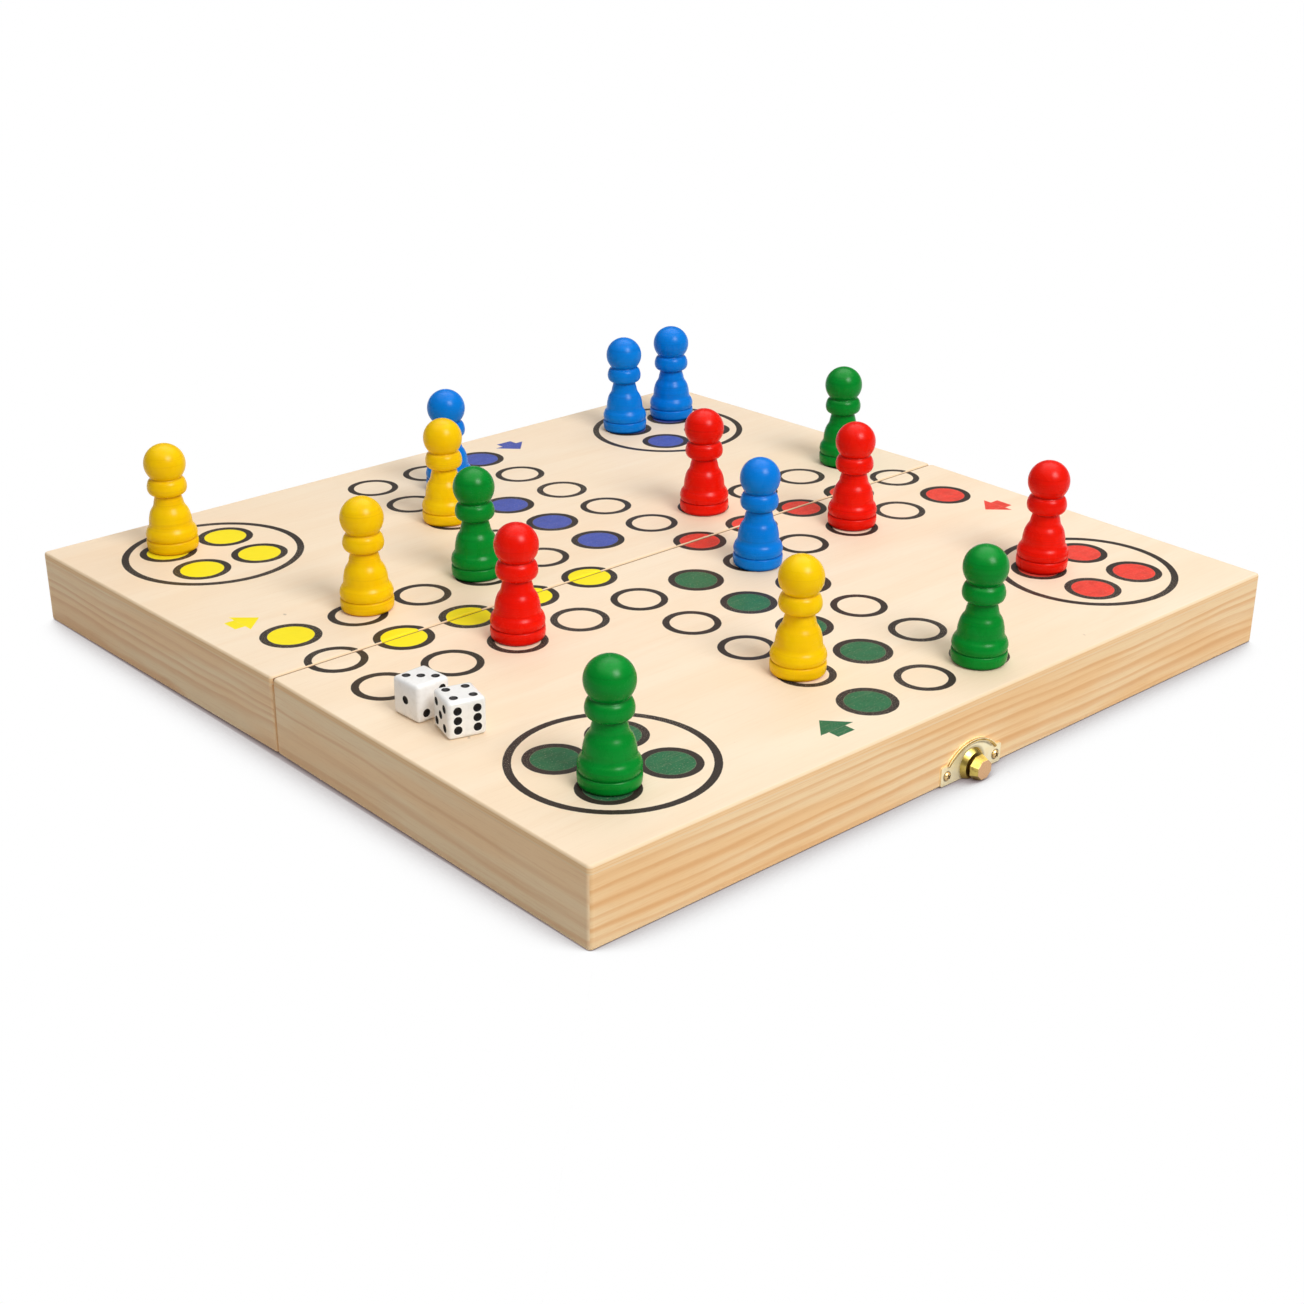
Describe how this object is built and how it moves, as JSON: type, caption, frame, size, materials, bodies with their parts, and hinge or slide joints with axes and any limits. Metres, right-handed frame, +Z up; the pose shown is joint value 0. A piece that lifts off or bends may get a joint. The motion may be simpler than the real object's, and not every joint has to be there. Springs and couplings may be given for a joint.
{
  "type": "folding board game box",
  "caption": "Hinged wooden game box, open flat as a printed ludo board, with turned pawns and dice on it; folds shut and hooks closed",
  "frame": {"origin": "on the table, under the middle of the hinge line; within a millimetre of the middle of the part's footprint", "axes": "+X runs along the hinge line, +Y points to the half with the hook, -Y to the half with the knob, +Z is up from the table"},
  "size_m": [0.29, 0.2962, 0.0631],
  "materials": {
    "pine": "satin clear varnish",
    "board_panel": "printed plywood, satin varnish",
    "brass": "bright, lightly worn",
    "paint_yellow": "gloss paint on turned wood",
    "paint_green": "gloss paint on turned wood",
    "paint_red": "gloss paint on turned wood",
    "paint_blue": "gloss paint on turned wood",
    "dice_plastic": "polished, dark inked pips"
  },
  "bodies": {
    "near_half": {"near_panel": "board_panel", "near_outer_rail": "pine", "near_spine_rail": "pine", "near_left_rail": "pine", "near_right_rail": "pine", "left_hinge_near_leaf": "brass", "right_hinge_near_leaf": "brass", "left_hinge_pin": "brass", "right_hinge_pin": "brass", "near_hinge_screws": "brass", "near_catch_plate": "brass", "catch_knob": "brass", "near_catch_nails": "brass"},
    "far_half": {"far_panel": "board_panel", "far_outer_rail": "pine", "far_spine_rail": "pine", "far_left_rail": "pine", "far_right_rail": "pine", "left_hinge_far_leaf": "brass", "right_hinge_far_leaf": "brass", "far_hinge_screws": "brass", "far_catch_plate": "brass", "hook_rivet": "brass", "far_catch_nails": "brass"},
    "hook": {"catch_hook": "brass"},
    "yellow_pawn_1": {"yellow_pawn_1": "paint_yellow"},
    "yellow_pawn_2": {"yellow_pawn_2": "paint_yellow"},
    "yellow_pawn_3": {"yellow_pawn_3": "paint_yellow"},
    "yellow_pawn_4": {"yellow_pawn_4": "paint_yellow"},
    "green_pawn_1": {"green_pawn_1": "paint_green"},
    "green_pawn_2": {"green_pawn_2": "paint_green"},
    "green_pawn_3": {"green_pawn_3": "paint_green"},
    "green_pawn_4": {"green_pawn_4": "paint_green"},
    "red_pawn_1": {"red_pawn_1": "paint_red"},
    "red_pawn_2": {"red_pawn_2": "paint_red"},
    "red_pawn_3": {"red_pawn_3": "paint_red"},
    "red_pawn_4": {"red_pawn_4": "paint_red"},
    "blue_pawn_1": {"blue_pawn_1": "paint_blue"},
    "blue_pawn_2": {"blue_pawn_2": "paint_blue"},
    "blue_pawn_3": {"blue_pawn_3": "paint_blue"},
    "blue_pawn_4": {"blue_pawn_4": "paint_blue"},
    "die_1": {"die_1": "dice_plastic"},
    "die_2": {"die_2": "dice_plastic"}
  },
  "joints": [
    {"name": "fold", "type": "hinge", "parent": "near_half", "child": "far_half", "pos_m": [0, 0, 0.0019], "axis": [-1, 0, 0], "range_deg": [-1.5, 178.45]},
    {"name": "hook_swing", "type": "hinge", "parent": "far_half", "child": "hook", "pos_m": [0, 0.14328, 0.00699], "axis": [0, -0.9999, 0.0133], "range_deg": [-90, 90]},
    {"name": "lift_yellow_pawn_1", "type": "slide", "parent": "far_half", "child": "yellow_pawn_1", "axis": [0, 0.0133, 0.9999], "range_m": [0, 0.06]},
    {"name": "lift_yellow_pawn_2", "type": "slide", "parent": "far_half", "child": "yellow_pawn_2", "axis": [0, 0.0133, 0.9999], "range_m": [0, 0.06]},
    {"name": "lift_yellow_pawn_3", "type": "slide", "parent": "far_half", "child": "yellow_pawn_3", "axis": [0, 0.0133, 0.9999], "range_m": [0, 0.06]},
    {"name": "lift_yellow_pawn_4", "type": "slide", "parent": "near_half", "child": "yellow_pawn_4", "axis": [0, -0.0133, 0.9999], "range_m": [0, 0.06]},
    {"name": "lift_green_pawn_1", "type": "slide", "parent": "far_half", "child": "green_pawn_1", "axis": [0, 0.0133, 0.9999], "range_m": [0, 0.06]},
    {"name": "lift_green_pawn_2", "type": "slide", "parent": "far_half", "child": "green_pawn_2", "axis": [0, 0.0133, 0.9999], "range_m": [0, 0.06]},
    {"name": "lift_green_pawn_3", "type": "slide", "parent": "near_half", "child": "green_pawn_3", "axis": [0, -0.0133, 0.9999], "range_m": [0, 0.06]},
    {"name": "lift_green_pawn_4", "type": "slide", "parent": "near_half", "child": "green_pawn_4", "axis": [0, -0.0133, 0.9999], "range_m": [0, 0.06]},
    {"name": "lift_red_pawn_1", "type": "slide", "parent": "far_half", "child": "red_pawn_1", "axis": [0, 0.0133, 0.9999], "range_m": [0, 0.06]},
    {"name": "lift_red_pawn_2", "type": "slide", "parent": "near_half", "child": "red_pawn_2", "axis": [0, -0.0133, 0.9999], "range_m": [0, 0.06]},
    {"name": "lift_red_pawn_3", "type": "slide", "parent": "near_half", "child": "red_pawn_3", "axis": [0, -0.0133, 0.9999], "range_m": [0, 0.06]},
    {"name": "lift_red_pawn_4", "type": "slide", "parent": "near_half", "child": "red_pawn_4", "axis": [0, -0.0133, 0.9999], "range_m": [0, 0.06]},
    {"name": "lift_blue_pawn_1", "type": "slide", "parent": "far_half", "child": "blue_pawn_1", "axis": [0, 0.0133, 0.9999], "range_m": [0, 0.06]},
    {"name": "lift_blue_pawn_2", "type": "slide", "parent": "near_half", "child": "blue_pawn_2", "axis": [0, -0.0133, 0.9999], "range_m": [0, 0.06]},
    {"name": "lift_blue_pawn_3", "type": "slide", "parent": "far_half", "child": "blue_pawn_3", "axis": [0, 0.0133, 0.9999], "range_m": [0, 0.06]},
    {"name": "lift_blue_pawn_4", "type": "slide", "parent": "far_half", "child": "blue_pawn_4", "axis": [0, 0.0133, 0.9999], "range_m": [0, 0.06]},
    {"name": "lift_die_1", "type": "slide", "parent": "near_half", "child": "die_1", "axis": [0, -0.0133, 0.9999], "range_m": [0, 0.06]},
    {"name": "lift_die_2", "type": "slide", "parent": "near_half", "child": "die_2", "axis": [0, -0.0133, 0.9999], "range_m": [0, 0.06]}
  ]
}
